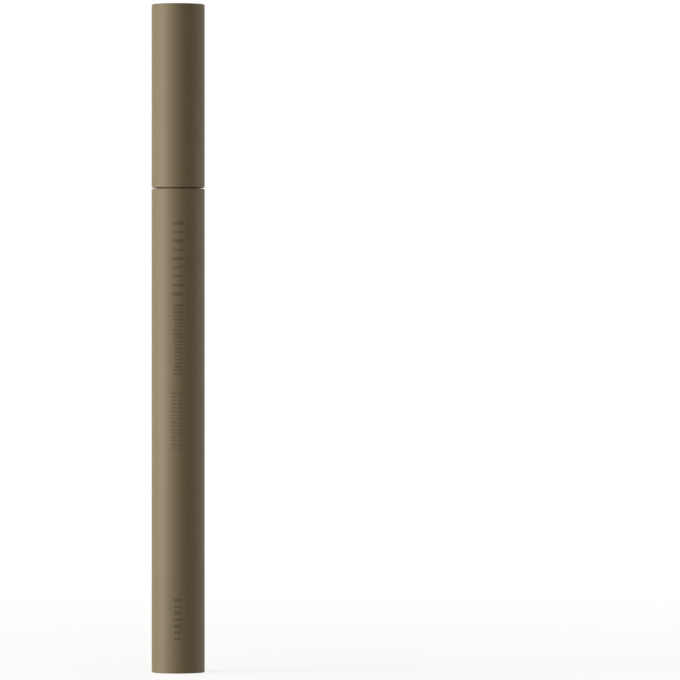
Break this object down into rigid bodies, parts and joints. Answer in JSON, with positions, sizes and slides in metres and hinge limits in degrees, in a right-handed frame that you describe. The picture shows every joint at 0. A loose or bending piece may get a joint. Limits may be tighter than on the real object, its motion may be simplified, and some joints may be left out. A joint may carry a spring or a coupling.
{
  "type": "liquid eyeliner pen",
  "caption": "Slim round cosmetic pen with a pull-off cap, tapered nozzle, fine brush tip, finned ink collector and a free-ink tank with a mixing ball.",
  "frame": {"origin": "centre of the flat tail, which the pen stands on with its cap on", "axes": "+Z along the pen's axis from the tail to the cap, -Y towards the pictured side"},
  "size_m": [0.0106, 0.0106, 0.1334],
  "materials": {
    "barrel_coating": "matte soft-touch coating, olive brown",
    "nozzle_plastic": "satin moulded plastic, olive brown",
    "tank_plastic": "natural, slightly clear",
    "seal_rubber": "smooth black",
    "ball_steel": "polished stainless steel",
    "collector_plastic": "off-white moulded plastic",
    "feed_fibre": "bonded fibre, wet with grey ink",
    "holder_plastic": "satin dark grey",
    "brush_filament": "fine nylon filaments, grey with ink",
    "inner_cap_plastic": "natural white",
    "spring_steel": "drawn wire"
  },
  "bodies": {
    "pen": {"barrel": "barrel_coating", "tail_plug": "barrel_coating", "front_section": "nozzle_plastic", "ink_tank": "tank_plastic", "tank_seal": "seal_rubber", "collector": "collector_plastic", "feed_rod": "feed_fibre", "brush_holder": "holder_plastic", "brush_clamp": "collector_plastic", "brush": "brush_filament"},
    "cap": {"cap_shell": "barrel_coating", "cap_spring": "spring_steel"},
    "seal_cap": {"inner_cap": "inner_cap_plastic"},
    "ball": {"mixing_ball": "ball_steel"}
  },
  "joints": [
    {"name": "cap_pull", "type": "slide", "parent": "pen", "child": "cap", "axis": [0, 0, 1], "range_m": [0, 0.05]},
    {"name": "inner_cap_float", "type": "slide", "parent": "cap", "child": "seal_cap", "axis": [0, 0, 1], "range_m": [-0.0015, 0], "deforming": ["cap_spring"]},
    {"name": "ball_travel", "type": "slide", "parent": "pen", "child": "ball", "axis": [0, 0, 1], "range_m": [0, 0.0293]}
  ],
  "couplings": [
    {"joint": "inner_cap_float", "follows": "cap_pull", "ratio": -0.03}
  ]
}
